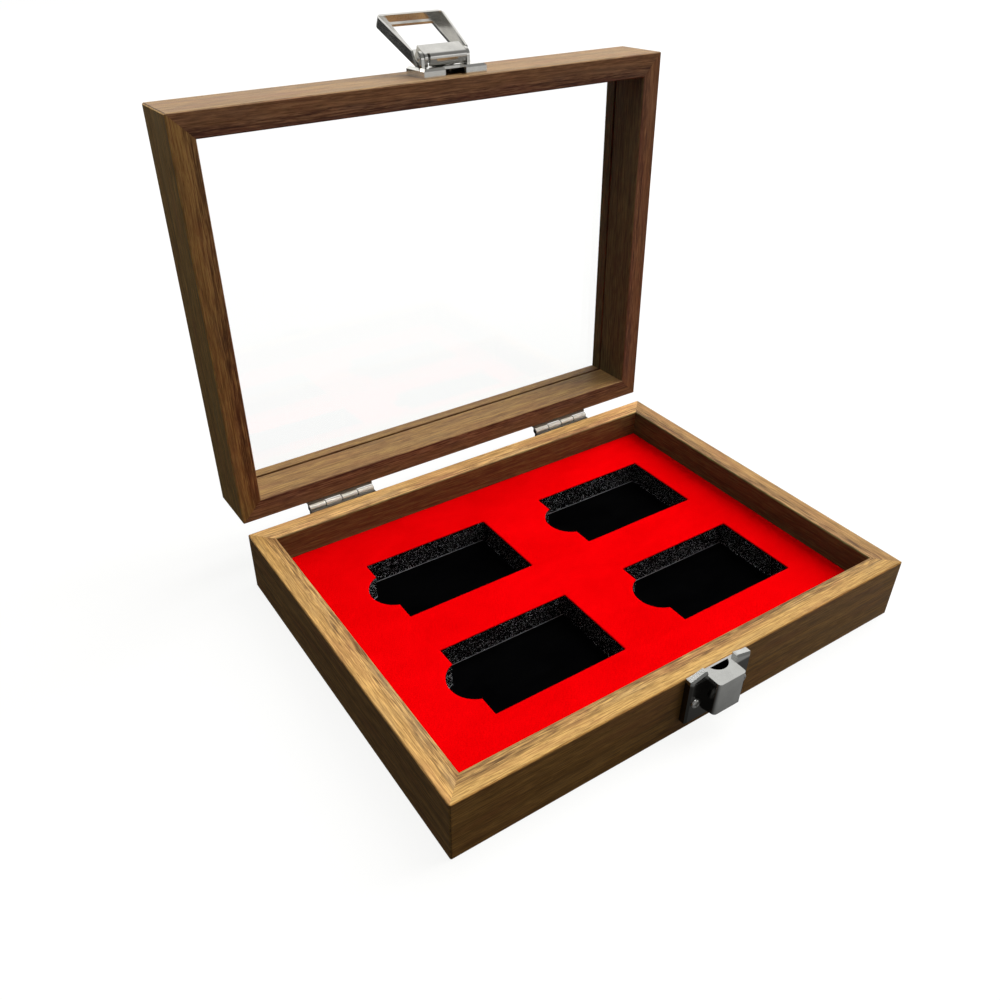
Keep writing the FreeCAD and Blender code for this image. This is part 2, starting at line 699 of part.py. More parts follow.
def add_root(body):
    """The square knuckle that turns on the pin, its web to the pan, and the heel for the stop."""
    root_width = "2 * root_half"
    web = new_sketch(body, "web", "YZ_Plane")
    draw_outline(web, [
        ("0", "-root_half_side"),
        ("root_clear + 1", "-flap_front"),
        ("root_clear + 1", "root_half_side"),
        ("0", "root_half_side"),
    ])
    add_pad(body, "web_pad", web, root_width, symmetric=True)
    stop = new_sketch(body, "stop", "YZ_Plane")
    draw_outline(stop, [
        ("0", "-root_half_side + flap_sheet"),
        ("stop_along", "-stop_drop"),
        ("root_clear", "-flap_front"),
    ])
    add_pad(body, "stop_pad", stop, "2 * stop_half", symmetric=True)
    knuckle = new_sketch(body, "knuckle", "YZ_Plane")
    draw_rectangle(knuckle, "-root_half_side", "root_half_side",
                   "-root_half_side", "root_half_side")
    block = add_pad(body, "knuckle_pad", knuckle, root_width, symmetric=True)
    tail = -size("root_half_side")
    long_edges = edges_where(block, lambda point: near(point.y, tail)
                             and near(abs(point.z), -tail))
    long_edges = [name for name in long_edges if runs_along_x(block.Shape.getElement(name))]
    dress_edges(body, "knuckle_corners", "Fillet", long_edges, "root_corner")
    bore = new_sketch(body, "bore", "YZ_Plane")
    draw_circle(bore, ("0", "0"), "pin_radius + running_play")
    cut_pocket(body, "bore_cut", bore, symmetric=True)
    gap = new_sketch(body, "spring_gap", "XY_Plane", "spring_room")
    draw_rectangle(gap, "spring_low", "spring_high", "-spring_room", "coil_radius + 1")
    cut_pocket(body, "spring_gap_cut", gap)
    slit = new_sketch(body, "spring_slit", "XY_Plane")
    draw_rectangle(slit, "spring_low", "spring_low + slit_width", "-root_half_side - 1",
                   "-spring_room / 2")
    cut_pocket(body, "spring_slit_cut", slit, symmetric=True)


def runs_along_x(edge):
    start, end = (vertex.Point for vertex in edge.Vertexes)
    return near(start.y, end.y) and near(start.z, end.z)


def runs_along_z(edge):
    start, end = (vertex.Point for vertex in edge.Vertexes)
    return near(start.x, end.x) and near(start.y, end.y)


def lies_on_tail(edge):
    return all(near(vertex.Point.y, -size("flap_tail")) for vertex in edge.Vertexes)


make_latch_plate()
make_pin("latch_pin", "2 * ear_inside + 2 * ear_thickness + 3 * knuckle_gap", "pin_radius",
         lid_swing.multiply(at(*PIVOT)))
make_latch_spring()
make_flap()


# ---------------------------------------------------------------- checks and export

doc.recompute()
for item in doc.Objects:
    if "Invalid" in item.State or "Error" in item.State:
        raise RuntimeError(f"{item.Name} is in state {item.State}")
for body in sub_parts:
    if body.Shape.isNull() or not body.Shape.isValid():
        raise RuntimeError(f"{body.Label} has no valid shape")

os.makedirs("parts", exist_ok=True)
for body in sub_parts:
    body.Shape.exportStep(f"parts/{body.Label}.step")
    print(f"{body.Label}: {len(body.Shape.Solids)} solid(s), {body.Shape.Volume:.1f} mm3")
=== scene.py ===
import math

import bmesh
import bpy
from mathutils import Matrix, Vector, noise
from mathutils.geometry import delaunay_2d_cdt


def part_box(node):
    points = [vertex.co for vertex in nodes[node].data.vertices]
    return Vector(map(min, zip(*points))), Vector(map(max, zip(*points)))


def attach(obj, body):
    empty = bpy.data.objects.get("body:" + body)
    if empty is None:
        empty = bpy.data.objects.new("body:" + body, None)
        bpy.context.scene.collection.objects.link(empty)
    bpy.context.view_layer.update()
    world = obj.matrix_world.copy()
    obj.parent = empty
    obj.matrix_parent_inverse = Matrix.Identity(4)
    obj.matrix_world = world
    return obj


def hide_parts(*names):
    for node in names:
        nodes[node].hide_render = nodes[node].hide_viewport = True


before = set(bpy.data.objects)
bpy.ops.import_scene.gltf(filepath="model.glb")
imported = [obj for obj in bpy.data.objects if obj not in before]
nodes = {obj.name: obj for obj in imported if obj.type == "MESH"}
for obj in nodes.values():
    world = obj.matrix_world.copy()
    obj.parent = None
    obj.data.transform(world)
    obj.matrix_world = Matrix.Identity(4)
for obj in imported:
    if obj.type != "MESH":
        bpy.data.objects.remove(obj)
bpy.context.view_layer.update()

# Looks for a hinged, glazed display box: camera, studio, materials and the soft insert.
# Lengths are in metres, in the CAD frame: +X to the right, +Y to the hinges, +Z up.

MM = 0.001

# ---------------------------------------------------------------- camera

CAMERA_PLACE = (-0.18112, -0.21391, 0.24116)
CAMERA_DOWN = 35.32       # degrees below the horizon
CAMERA_TURN = -33.12      # degrees from +Y towards +X
CAMERA_ROLL = 0.08        # degrees
SENSOR_WIDTH = 36         # mm
CAMERA_LENS = 33.04       # mm
CAMERA_SHIFT = (0.0218, 0.0083)
CAMERA_CLIP = (0.01, 20)


def make_camera():
    camera = bpy.data.objects.new("camera", bpy.data.cameras.new("camera"))
    bpy.context.scene.collection.objects.link(camera)
    camera.location = CAMERA_PLACE
    camera.rotation_euler = (math.radians(90 - CAMERA_DOWN), 0, math.radians(CAMERA_TURN))
    camera.rotation_euler.rotate_axis("Z", math.radians(CAMERA_ROLL))
    camera.data.sensor_width = SENSOR_WIDTH
    camera.data.lens = CAMERA_LENS
    camera.data.shift_x, camera.data.shift_y = CAMERA_SHIFT
    camera.data.clip_start, camera.data.clip_end = CAMERA_CLIP
    bpy.context.scene.camera = camera


make_camera()


# ---------------------------------------------------------------- node trees

NOISE_RANGE = (0.3, 0.7)      # what most of a noise texture's values lie between


class Tree:
    """A material's nodes, with one short call for each kind used here."""

    def __init__(self, name):
        self.material = bpy.data.materials.new(name)
        self.material.use_nodes = True
        self.nodes = self.material.node_tree.nodes
        self.links = self.material.node_tree.links
        self.shader = self.nodes["Principled BSDF"]
        coordinates = self.nodes.new("ShaderNodeTexCoord")
        self.place, self.facing = coordinates.outputs["Object"], coordinates.outputs["Normal"]

    def feed(self, socket, value):
        """Link a socket to another, or set its own value."""
        if isinstance(value, bpy.types.NodeSocket):
            self.links.new(value, socket)
        else:
            socket.default_value = value

    def vector_math(self, operation, vector, constant):
        """The outputs of some arithmetic on a vector and a constant one."""
        node = self.nodes.new("ShaderNodeVectorMath")
        node.operation = operation
        self.feed(node.inputs[0], vector)
        node.inputs[1].default_value = constant
        return node.outputs

    def turned(self, direction, shift):
        """The place, turned so that direction runs along X, and moved by shift."""
        node = self.nodes.new("ShaderNodeMapping")
        turn = direction.rotation_difference(Vector((1, 0, 0))).to_euler()
        node.inputs["Rotation"].default_value = turn
        node.inputs["Location"].default_value = shift
        self.feed(node.inputs["Vector"], self.place)
        return node.outputs["Vector"]

    def scaled(self, vector, sizes):
        """The vector in units of the three sizes."""
        return self.vector_math("MULTIPLY", vector, [1 / size for size in sizes])["Vector"]

    def cloud(self, vector, sizes, detail=2.0, rough=0.5, bend=0.0):
        """Noise from 0 to 1 with features of the three sizes."""
        node = self.nodes.new("ShaderNodeTexNoise")
        self.feed(node.inputs["Vector"], self.scaled(vector, sizes))
        node.inputs["Scale"].default_value = 1
        node.inputs["Detail"].default_value = detail
        node.inputs["Roughness"].default_value = rough
        node.inputs["Distortion"].default_value = bend
        return node.outputs["Fac"]

    def even_cloud(self, size, **looks):
        """Noise from 0 to 1 with features of one size in every direction."""
        return self.cloud(self.place, (size, size, size), **looks)

    def cells(self, size):
        """How far the place is from the middle of its cell, for cells of one size."""
        node = self.nodes.new("ShaderNodeTexVoronoi")
        self.feed(node.inputs["Vector"], self.scaled(self.place, (size, size, size)))
        node.inputs["Scale"].default_value = 1
        return node.outputs["Distance"]

    def ramp(self, value, stops):
        """A colour ramp through (position, colour) stops."""
        node = self.nodes.new("ShaderNodeValToRGB")
        self.feed(node.inputs["Fac"], value)
        elements = node.color_ramp.elements
        while len(elements) < len(stops):
            elements.new(0.5)
        for element, (position, colour) in zip(elements, stops):
            element.position = position
            element.color = (*colour, 1)
        return node.outputs["Color"]

    def level(self, value, low, high, out_low=0.0, out_high=1.0):
        """The value moved from one range to another, clamped."""
        node = self.nodes.new("ShaderNodeMapRange")
        for name, number in zip(("From Min", "From Max", "To Min", "To Max"),
                                (low, high, out_low, out_high)):
            node.inputs[name].default_value = number
        self.feed(node.inputs["Value"], value)
        return node.outputs["Result"]

    def spread(self, cloud, low=0.0, high=1.0):
        """Noise spread from low to high."""
        return self.level(cloud, *NOISE_RANGE, low, high)

    def mix(self, factor, first, second, blend="MIX"):
        """Two colours mixed."""
        node = self.nodes.new("ShaderNodeMix")
        node.data_type = "RGBA"
        node.blend_type = blend
        self.feed(node.inputs[0], factor)
        for socket, value in ((node.inputs[6], first), (node.inputs[7], second)):
            self.feed(socket, value if isinstance(value, bpy.types.NodeSocket) else (*value, 1))
        return node.outputs[2]

    def tint(self, colour, by):
        """One colour multiplied by another, or by a number."""
        return self.mix(1.0, colour, by, "MULTIPLY")

    def combine(self, operation, first, second):
        """Arithmetic on two numbers."""
        node = self.nodes.new("ShaderNodeMath")
        node.operation = operation
        self.feed(node.inputs[0], first)
        self.feed(node.inputs[1], second)
        return node.outputs["Value"]

    def weigh(self, *parts):
        """The sum of (number, share) parts."""
        total = 0.0
        for value, share in parts:
            total = self.combine("ADD", self.combine("MULTIPLY", value, share), total)
        return total

    def dot(self, vector, direction):
        """How far the vector reaches along a direction."""
        return self.vector_math("DOT_PRODUCT", vector, direction)["Value"]

    def depth(self, outward, outer):
        """How far inside a flat face the place is, the face being outer away along outward."""
        return self.combine("SUBTRACT", outer, self.dot(self.place, outward))

    def reach(self, centre, mask=(1, 1, 1)):
        """How far the place is from a point, along the axes that mask keeps."""
        kept = self.vector_math("MULTIPLY", self.place, mask)["Vector"]
        kept_centre = [number * share for number, share in zip(centre, mask)]
        return self.vector_math("DISTANCE", kept, kept_centre)["Value"]

    def bump(self, height, depth, strength):
        """Relief of the given depth on the shader's normal."""
        node = self.nodes.new("ShaderNodeBump")
        node.inputs["Strength"].default_value = strength
        node.inputs["Distance"].default_value = depth
        self.feed(node.inputs["Height"], height)
        self.feed(self.shader.inputs["Normal"], node.outputs["Normal"])

    def set(self, **values):
        """Set the shader's sockets, their names written with underscores."""
        for name, value in values.items():
            self.feed(self.shader.inputs[name.replace("_", " ")], value)


def give(material, *owners):
    """Put a material on CAD nodes, named, or on made objects, in place of what they have."""
    for owner in owners:
        mesh = (nodes[owner] if isinstance(owner, str) else owner).data
        mesh.materials.clear()
        mesh.materials.append(material)


# ---------------------------------------------------------------- wood

ALONG_X = Vector((1, 0, 0))
ALONG_Y = Vector((0, 1, 0))
LID_LEAN = math.radians(2.2)      # how far past upright the open lid stands
UP_THE_LID = Vector((0, math.sin(LID_LEAN), math.cos(LID_LEAN)))
RAIL_WIDTH = 8.5 * MM

# Walnut from its dark to its light wood, by position on a ramp.
WALNUT = [
    (0.40, (0.085, 0.044, 0.017)),
    (0.465, (0.19, 0.105, 0.038)),
    (0.52, (0.32, 0.19, 0.066)),
    (0.60, (0.52, 0.33, 0.115)),
]
GREY_WOOD = (0.24, 0.175, 0.092)
GOLD_WOOD = (0.50, 0.30, 0.085)
RED_WOOD = (0.30, 0.125, 0.058)
# The colour the inner faces darken towards.
INNER_DARK_COLOUR = (0.13, 0.055, 0.03)
PORE_COLOUR = (0.08, 0.04, 0.019)

# Ranges below are (where a change begins, where it is complete).
# The wood turns more golden near the outer face, as measured inwards from it.
GOLD_DEPTH = (5.2 * MM, 4.0 * MM)
# The edge face takes its neighbour's tint, painted light and shade included, this near to their
# corner.
TINT_EDGE = (0.45 * MM, 0.15 * MM)
# The inner faces are darker, and the darkening begins this far over their corner.
INNER_DARK_REACH = {"base": 0.5 * MM, "lid": 1.5 * MM}
INNER_DARK_END = 0.1 * MM      # where it is complete
# How far apart, along and across the board, two rails' stretches of it lie.
BOARD_SHIFT = (0.37, 0.071, 0.053)

# The tints of each rail's faces, partly the wood's own hue and partly painted light and shade that
# lightens or darkens a whole face: outer, edge (where lid and base meet) and inner.
FACE_TINTS_AND_SHADE = {
    "base_front_rail": ((1.0, 0.84, 0.70), (1.05, 1.03, 0.97), (1, 1, 1)),
    "base_right_rail": ((0.9, 0.85, 0.8), (0.74, 0.7, 0.78), (0.45, 0.8, 0.7)),
    "base_back_rail": ((1, 1, 1), (1.45, 1.42, 1.6), (0.75, 1.05, 0.88)),
    "base_left_rail": ((1.35, 1.22, 1.2), (1.2, 1.15, 1.12), (1, 1, 1)),
    "lid_front_rail": ((0.6, 0.6, 0.8), (0.62, 0.5, 0.68), (0.7, 0.6, 0.6)),
    "lid_right_rail": ((0.8, 0.8, 0.9), (0.7, 0.52, 0.68), (0.75, 1.0, 0.98)),
    "lid_back_rail": ((0.9, 0.8, 0.9), (0.67, 0.54, 0.78), (1.3, 1.4, 1.25)),
    "lid_left_rail": ((1.9, 1.85, 1.7), (0.84, 0.76, 0.72), (0.9, 0.9, 0.9)),
}


def make_wood(rail, grain_way, outward, dark_inner_reach, seed):
    """Oiled walnut for a rail, its grain along grain_way, its outer face towards outward, each
    face tinted with painted light and shade.

    The seed picks another stretch of the board.
    """
    # Each face's tint: partly its hue, partly painted light and shade.
    outer_tint_and_shade, edge_tint_and_shade, inner_tint_and_shade = FACE_TINTS_AND_SHADE[rail]
    outer = max(outward.dot(vertex.co) for vertex in nodes[rail].data.vertices)
    tree = Tree(f"walnut_{rail}")
    grain = tree.turned(grain_way, [seed * step for step in BOARD_SHIFT])
    depth = tree.depth(outward, outer)

    def strands(length, width, **looks):
        """Noise drawn out along the grain. Its sizes are in millimetres."""
        return tree.cloud(grain, (length * MM, width * MM, width * MM), **looks)

    waves = strands(50, 4)
    bands = strands(120, 3.2, bend=0.5)
    streaks = strands(24, 0.7, bend=0.4)
    fibres = strands(7, 0.36, detail=3.0, rough=0.6, bend=0.3)
    pores = strands(3.5, 0.24, detail=1.0)
    patches = strands(30, 6)

    colour = tree.ramp(tree.weigh((bands, 0.20), (streaks, 0.26), (fibres, 0.54)), WALNUT)
    colour = tree.mix(tree.level(patches, 0.46, 0.28, 0, 0.4), colour, GREY_WOOD)
    wavy_depth = tree.combine("ADD", depth, tree.spread(waves, -0.9 * MM, 0.9 * MM))
    colour = tree.mix(tree.level(wavy_depth, *GOLD_DEPTH, 0, 0.3), colour, GOLD_WOOD)
    colour = tree.mix(tree.level(patches, 0.52, 0.72, 0, 0.35), colour, RED_WOOD)
    # Darker on the inner faces and in a band just over their corner.
    inner_dark_share = tree.level(depth, RAIL_WIDTH - dark_inner_reach, RAIL_WIDTH - INNER_DARK_END, 0, 0.6)
    colour = tree.mix(inner_dark_share, colour, INNER_DARK_COLOUR)
    pore_share = tree.level(pores, 0.36, 0.27, 0, 0.55)
    colour = tree.mix(pore_share, colour, PORE_COLOUR)

    start, end = TINT_EDGE
    # cut is the face's tint with its painted light and shade, blended across the corners.
    cut = tree.mix(tree.level(depth, start, end), edge_tint_and_shade, outer_tint_and_shade)
    cut = tree.mix(tree.level(depth, RAIL_WIDTH - start, RAIL_WIDTH - end), cut, inner_tint_and_shade)

    relief = tree.combine("SUBTRACT", fibres, tree.combine("MULTIPLY", pore_share, 0.8))
    tree.bump(relief, 0.05 * MM, 0.6)
    tree.set(Base_Color=tree.tint(colour, cut), Roughness=tree.spread(streaks, 0.42, 0.56),
             Specular_IOR_Level=0.14)
    return tree.material


def dress_wood():
    """Give every rail its own walnut."""
    seed = 1
    for half, side_way, front_way in (("base", ALONG_Y, -ALONG_Y),
                                      ("lid", UP_THE_LID, UP_THE_LID)):
        for side, grain_way, outward in (("front", ALONG_X, front_way),
                                         ("right", side_way, ALONG_X),
                                         ("back", ALONG_X, -front_way),
                                         ("left", side_way, -ALONG_X)):
            rail = f"{half}_{side}_rail"
            give(make_wood(rail, grain_way, outward, INNER_DARK_REACH[half], seed), rail)
            seed += 1


def make_panel_board():
    """Thin hardboard for the underside: pressed fibres with no grain direction."""
    tree = Tree("floor_board")
    fibres = tree.even_cloud(1.6 * MM, detail=5.0, rough=0.65, bend=1.5)
    specks = tree.even_cloud(0.4 * MM)
    colour = tree.ramp(fibres, [(0.32, (0.12, 0.062, 0.03)), (0.68, (0.25, 0.145, 0.075))])
    colour = tree.mix(tree.level(specks, 0.6, 0.75, 0, 0.5), colour, (0.34, 0.22, 0.13))
    tree.bump(fibres, 0.08 * MM, 0.7)
    tree.set(Base_Color=colour, Roughness=0.68, Specular_IOR_Level=0.35)
    return tree.material


dress_wood()
give(make_panel_board(), "base_bottom_panel")


# ---------------------------------------------------------------- metal and pane

# The colour of the painted shade in the keeper's and hinges' recesses, and the dark steel of the
# hinge pins.
SHADE_AND_DARK_STEEL = (0.06, 0.054, 0.048)
# Where the keeper's painted shade begins and is complete.
KEEPER_SHADE_BELOW = (2.6 * MM, 3.4 * MM)       # measured from the keeper's top
KEEPER_SHADE_BEHIND = (0.4 * MM, 1.6 * MM)      # measured from the front of its nub
PIN_AXIS = (0, 77.5 * MM, 26 * MM)
# Where the painted shade on the hinge leaves begins and is complete, from the pin's axis.
BARREL_END = (1.2 * MM, 1.35 * MM)         # where it darkens, measured from the axis
KNUCKLE_PITCH = 7.25 * MM
# Where the painted shade at each knuckle's end begins and is complete.
KNUCKLE_END = (0.32 * MM, 0.14 * MM)       # where a knuckle darkens, measured from its end
HINGE_SHIFT = -1.9 * MM
HINGE_REACH = 56.4 * MM                    # from the hinges' middle to the centre of each


def make_metal(name, colour, roughness, smudge, relief, painted_shade=None, matt=0.0):
    """Plated metal, a little uneven in its gloss. Smudge is the size of its dull patches.

    roughness is (lowest, highest). The function given after relief, if any, takes the tree and
    gives how far painted shade darkens the plating, from 0 to 1. matt is the share of its face
    that scatters light and mirrors none.
    """
    tree = Tree(name)
    # Painted shade, darkening the plating where it is given.
    if painted_shade:
        colour = tree.mix(painted_shade(tree), colour, SHADE_AND_DARK_STEEL)
    haze = tree.even_cloud(smudge, detail=3.0, rough=0.6)
    grit = tree.even_cloud(0.2 * MM)
    lowest, highest = roughness
    tree.set(Base_Color=tree.tint(colour, tree.spread(haze, 0.86, 1.0)), Metallic=1 - matt,
             Roughness=tree.spread(haze, highest, lowest))
    tree.bump(tree.combine("ADD", grit, haze), relief, 0.5)
    return tree.material


def keeper_painted_shade(tree):
    """Painted shade in the keeper's recesses: behind the front of its nub and below its top."""
    low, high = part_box("keeper_plate")
    behind = tree.level(tree.depth(-ALONG_Y, -low.y), *KEEPER_SHADE_BEHIND)
    below = tree.level(tree.depth((0, 0, 1), high.z), *KEEPER_SHADE_BELOW, 0, 0.9)
    return tree.combine("MULTIPLY", behind, below)


def hinge_painted_shade(tree):
    """Painted shade on the leaves and at the knuckles' ends; the barrels keep the plain nickel."""
    out = tree.reach(PIN_AXIS, (0, 1, 1))
    leaf = tree.level(out, *BARREL_END, 0, 0.9)
    across = tree.combine("SUBTRACT", tree.dot(tree.place, ALONG_X), HINGE_SHIFT)
    across = tree.combine("ABSOLUTE", across, 0.0)
    along_hinge = tree.combine("ADD", across, 2 * KNUCKLE_PITCH - HINGE_REACH)
    from_end = tree.combine("PINGPONG", along_hinge, KNUCKLE_PITCH / 2)
    ends = tree.level(from_end, *KNUCKLE_END, 0, 0.85)
    return tree.combine("MAXIMUM", leaf, ends)


def make_pane_glass():
    """Clear sheet."""
    tree = Tree("clear_pane")
    tree.set(Base_Color=(0.985, 0.99, 0.99, 1), Transmission_Weight=1.0, IOR=1.49,
             Roughness=0.0)
    return tree.material


def dress_metal():
    bright_nickel = make_metal("bright_nickel", (0.80, 0.785, 0.75), (0.12, 0.22), 6 * MM,
                               0.0012 * MM)
    cast_nickel = make_metal("cast_nickel", (0.68, 0.68, 0.66), (0.12, 0.20), 6 * MM,
                             0.0016 * MM, keeper_painted_shade)
    satin_nickel = make_metal("satin_nickel", (0.90, 0.84, 0.74), (0.30, 0.42), 4 * MM,
                              0.003 * MM, hinge_painted_shade, matt=0.5)
    dark_steel = make_metal("dark_steel", SHADE_AND_DARK_STEEL, (0.30, 0.42), 4 * MM, 0.003 * MM)
    screw_steel = make_metal("screw_steel", (0.72, 0.71, 0.69), (0.14, 0.24), 2 * MM,
                             0.004 * MM)
    spring_wire = make_metal("spring_wire", (0.60, 0.59, 0.57), (0.22, 0.32), 2 * MM,
                             0.003 * MM)
    give(bright_nickel, "latch_plate", "latch_flap", "latch_pin")
    give(cast_nickel, "keeper_plate")
    give(satin_nickel, *[name for name in nodes if name.endswith("leaf")])
    give(dark_steel, "hinge_left_pin", "hinge_right_pin")
    give(screw_steel, *[name for name in nodes if name.endswith("screws")])
    give(spring_wire, "latch_spring")


def dress_pane():
    """The pane's look. Lamps shine through it, and nothing mirrors it."""
    pane = nodes["lid_pane"]
    pane.visible_shadow = pane.visible_diffuse = pane.visible_glossy = False
    give(make_pane_glass(), "lid_pane")


dress_metal()
dress_pane()


# ---------------------------------------------------------------- soft insert

RECESS_LENGTH = 55 * MM
RECESS_WIDTH = 35 * MM
RECESS_CORNER = 0.4 * MM
COLUMN_PITCH = 83.5 * MM
COLUMN_SHIFT = 4.95 * MM
ROW_PITCH = 56 * MM
NOTCH_RADIUS = 10 * MM
NOTCH_INSET = 3.2 * MM
NOTCH_POINTS = 60
CORNER_POINTS = 4
WALL_STEP = 0.5 * MM
GRID_STEP = 1.6 * MM

RECESSES = [Vector((COLUMN_SHIFT + column * COLUMN_PITCH / 2, row * ROW_PITCH / 2))
            for column in (-1, 1) for row in (-1, 1)]

# The last rows of the foam's edge, as (inset, share of the thickness) from the top down.
FOAM_FOOT = [(-0.06 * MM, 0.035), (-0.14 * MM, 0.015), (-0.16 * MM, 0)]


def along(start, end, count):
    """Count points from start towards end, without the end."""
    start, end = Vector(start), Vector(end)
    return [start.lerp(end, index / count) for index in range(count)]


def round_bend(centre, radius, first, last, count):
    """Count points on an arc between two angles in degrees, without the last."""
    angles = [math.radians(first + (last - first) * index / count) for index in range(count)]
    return [Vector((centre[0] + radius * math.cos(a), centre[1] + radius * math.sin(a)))
            for a in angles]


def recess_loop(centre, grow):
    """Points round a recess and its thumb notch, anticlockwise, grown outwards by grow.

    Every loop has the same number of points, whatever it is grown by.
    """
    half_x, half_y = RECESS_LENGTH / 2 + grow, RECESS_WIDTH / 2 + grow
    bend = RECESS_CORNER + grow
    reach, inset = NOTCH_RADIUS + grow, NOTCH_INSET + grow
    mouth = math.sqrt(reach ** 2 - inset ** 2)
    opening = math.degrees(math.atan2(mouth, inset))
    long_count, short_count = round(RECESS_LENGTH / WALL_STEP), round(RECESS_WIDTH / WALL_STEP)
    side_count = short_count // 4

    def corner(x, y, first):
        return round_bend((x, y), bend, first, first + 90, CORNER_POINTS)

    loop = round_bend((inset - half_x, 0), reach, 180 - opening, 180 + opening, NOTCH_POINTS)
    loop += along((-half_x, -mouth), (-half_x, bend - half_y), side_count)
    loop += corner(bend - half_x, bend - half_y, 180)
    loop += along((bend - half_x, -half_y), (half_x - bend, -half_y), long_count)
    loop += corner(half_x - bend, bend - half_y, 270)
    loop += along((half_x, bend - half_y), (half_x, half_y - bend), short_count)
    loop += corner(half_x - bend, half_y - bend, 0)
    loop += along((half_x - bend, half_y), (bend - half_x, half_y), long_count)
    loop += corner(bend - half_x, half_y - bend, 90)
    loop += along((-half_x, half_y - bend), (-half_x, mouth), side_count)
    return [centre + point for point in loop]


def border_loop(half_x, half_y, shrink):
    """Points round the board's outer edge, anticlockwise, shrunk inwards by shrink."""
    x, y = half_x - shrink, half_y - shrink
    long_count, short_count = round(2 * half_x / GRID_STEP), round(2 * half_y / GRID_STEP)
    return (along((-x, -y), (x, -y), long_count) + along((x, -y), (x, y), short_count)
            + along((x, y), (-x, y), long_count) + along((-x, y), (-x, -y), short_count))


def in_recess(point, recesses, grow):
    """True inside any of the recesses or its notch, both grown by grow."""
    for centre in recesses:
        x, y = point - centre
        in_box = abs(x) < RECESS_LENGTH / 2 + grow and abs(y) < RECESS_WIDTH / 2 + grow
        in_notch = math.hypot(x + RECESS_LENGTH / 2 - NOTCH_INSET, y) < NOTCH_RADIUS + grow
        if in_box or in_notch:
            return True
    return False


def fill(loops, half_x, half_y, recesses, grow):
    """Fill between the border's loop and the recesses' loops with even triangles.

    Gives the points added inside, and triangles as indices into the loops' points and those.
    """
    points = [point for loop in loops for point in loop]
    rim, first = [], 0
    for loop in loops:
        count = len(loop)
        rim += [(first + index, first + (index + 1) % count) for index in range(count)]
        first += count
    columns, rows = int(half_x / GRID_STEP), int(half_y / GRID_STEP)
    inner = [Vector((column * GRID_STEP, row * GRID_STEP))
             for column in range(1 - columns, columns) for row in range(1 - rows, rows)]
    clear = grow + GRID_STEP / 2
    inner = [point for point in inner if not in_recess(point, recesses, clear)]
    everything = points + inner
    _, _, triangles, origins, _, _ = delaunay_2d_cdt(everything, rim, [], 0, 1e-9)
    kept = []
    for triangle in triangles:
        corners = [origins[index][0] for index in triangle]
        middle = sum((everything[corner] for corner in corners), Vector((0, 0))) / 3
        if not in_recess(middle, recesses, grow):
            kept.append(corners)
    return inner, kept


def swell(height, spread):
    """A relief for build_board: a slow rise and fall of at most height, sunk by half of it."""
    def relief(point):
        wave = noise.noise(Vector((point.x / spread, point.y / spread, height / MM)))
        return height * (wave - 0.5)

    return relief


def foam_cell(spot):
    """How far a point of the cut foam wall sits back from the knife's line."""
    large = noise.noise(spot / (0.9 * MM))
    small = noise.noise(spot / (0.35 * MM) + Vector((7, 3, 1)))
    return (0.07 + 0.06 * large + 0.05 * small) * MM


def add_object(name, mesh):
    """Link a smooth shaded object made from a bmesh."""
    data = bpy.data.meshes.new(name)
    mesh.to_mesh(data)
    mesh.free()
    data.shade_smooth()
    made = bpy.data.objects.new(name, data)
    bpy.context.scene.collection.objects.link(made)
    return made


def rounded_edge(inset, share, steps, rows_below):
    """Rows for build_board: an edge rounded over at the top, then straight down.

    The rounding goes in by inset, and down by a share of the thickness.
    """
    turns = [math.radians(90 * step / steps) for step in range(steps + 1)]
    rows = [(inset * (1 - math.sin(turn)), 1 - share * (1 - math.cos(turn))) for turn in turns]
    bottom = 1 - share
    return rows + [(0, bottom * (1 - row / rows_below)) for row in range(1, rows_below + 1)]


def build_board(name, cad_node, edge_rows, recesses, relief=None, wall_offset=None):
    """A closed board in place of its CAD node and in its space, with the recesses through it.

    edge_rows are (inset, height share) pairs from the top edge down, for the border and the
    recesses alike. relief lifts a top point, and wall_offset moves a recess wall's point outwards.
    """
    low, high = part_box(cad_node)
    half_x, half_y = (high.x - low.x) / 2, (high.y - low.y) / 2
    thick = high.z - low.z
    last_row = len(edge_rows) - 1
    mesh = bmesh.new()

    def lifted(point, share):
        rise = relief(point) * share if relief else 0
        return Vector((point.x, point.y, low.z + thick * share + rise))

    def ring(row, centre):
        """One row round a recess, or round the border if there is no centre."""
        inset, share = edge_rows[row]
        if centre is None:
            return [mesh.verts.new(lifted(point, share))
                    for point in border_loop(half_x, half_y, inset)]
        made = []
        for point, further in zip(recess_loop(centre, inset), recess_loop(centre, inset + MM)):
            spot = lifted(point, share)
            if wall_offset and 0 < row < last_row:
                outward = (further - point) / MM
                push = wall_offset(spot)
                spot.x += outward.x * push
                spot.y += outward.y * push
            made.append(mesh.verts.new(spot))
        return made

    stacks = [[ring(row, centre) for row in range(len(edge_rows))]
              for centre in [None] + recesses]
    for stack in stacks:
        for upper, lower in zip(stack, stack[1:]):
            count = len(upper)
            for index in range(count):
                following = (index + 1) % count
                mesh.faces.new((upper[index], lower[index], lower[following], upper[following]))

    for row in (0, last_row):
        inset, share = edge_rows[row]
        loops = [[vertex.co.xy for vertex in stack[row]] for stack in stacks]
        inner, triangles = fill(loops, half_x, half_y, recesses, inset)
        corners = [vertex for stack in stacks for vertex in stack[row]]
        corners += [mesh.verts.new(lifted(point, share)) for point in inner]
        for triangle in triangles:
            mesh.faces.new([corners[index] for index in triangle])

    bmesh.ops.recalc_face_normals(mesh, faces=mesh.faces)
    piece = add_object(name, mesh)
    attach(piece, "base")
    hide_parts(cad_node)
    return piece


